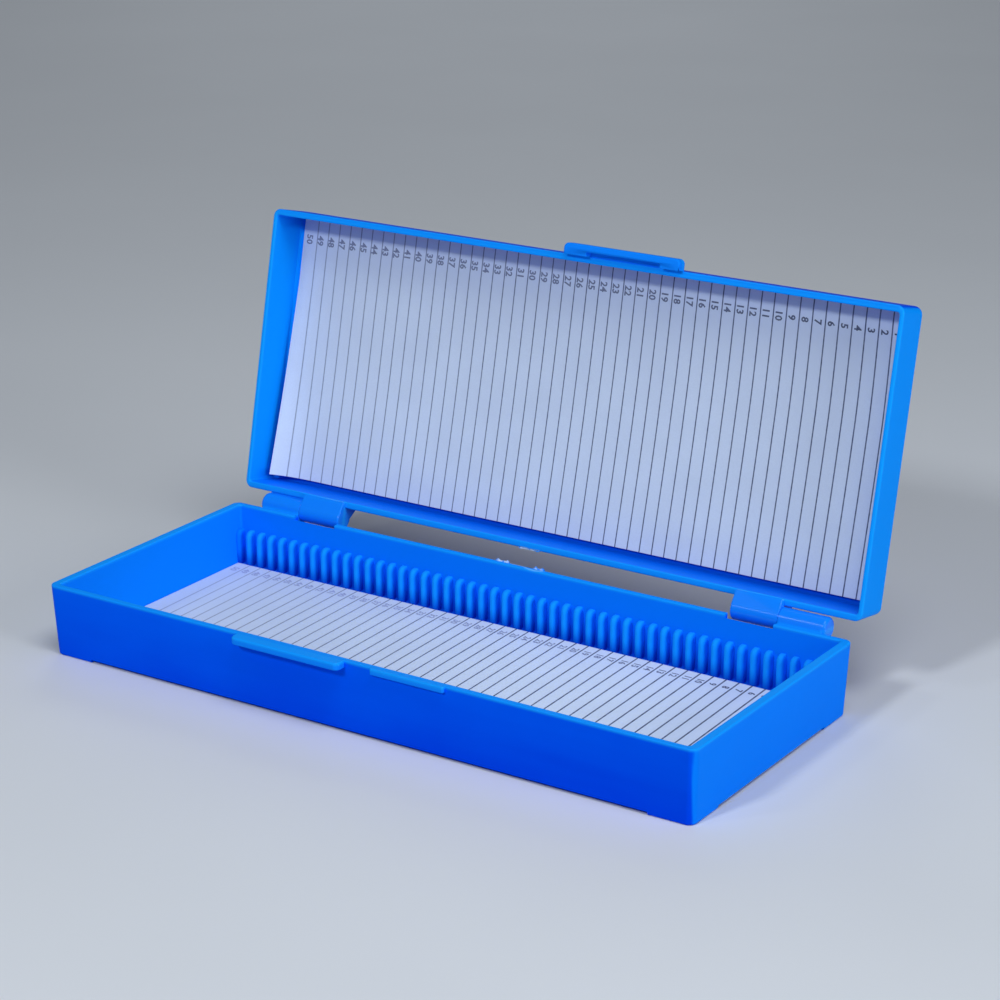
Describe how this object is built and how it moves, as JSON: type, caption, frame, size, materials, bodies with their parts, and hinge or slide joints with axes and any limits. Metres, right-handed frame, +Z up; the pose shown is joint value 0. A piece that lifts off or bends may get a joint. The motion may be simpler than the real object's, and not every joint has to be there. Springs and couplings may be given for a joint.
{
  "type": "microscope slide box",
  "caption": "Shallow hinged plastic box whose ribbed tray holds glass microscope slides on edge, with index cards in tray and lid and a latch tab at the front.",
  "frame": {"origin": "on the surface that the feet stand on, below the middle of the box with its lid open", "axes": "+X along the box to the viewer's right, +Y from the front with the latch to the hinges, +Z up"},
  "size_m": [0.2016, 0.1204, 0.1081],
  "materials": {
    "blue_plastic": "satin moulded",
    "index_card": "printed card",
    "pin_steel": "drawn wire"
  },
  "bodies": {
    "tray": {"tray_shell": "blue_plastic", "rear_slot_ribs": "blue_plastic", "front_slot_ribs": "blue_plastic", "tray_index_card": "index_card", "left_hinge_pin": "pin_steel", "right_hinge_pin": "pin_steel"},
    "lid": {"lid_shell": "blue_plastic", "lid_index_card": "index_card"}
  },
  "joints": [
    {"name": "lid_hinge", "type": "hinge", "parent": "tray", "child": "lid", "pos_m": [0, 0.0289, 0.0206], "axis": [1, 0, 0], "range_deg": [0, 102.4]}
  ]
}
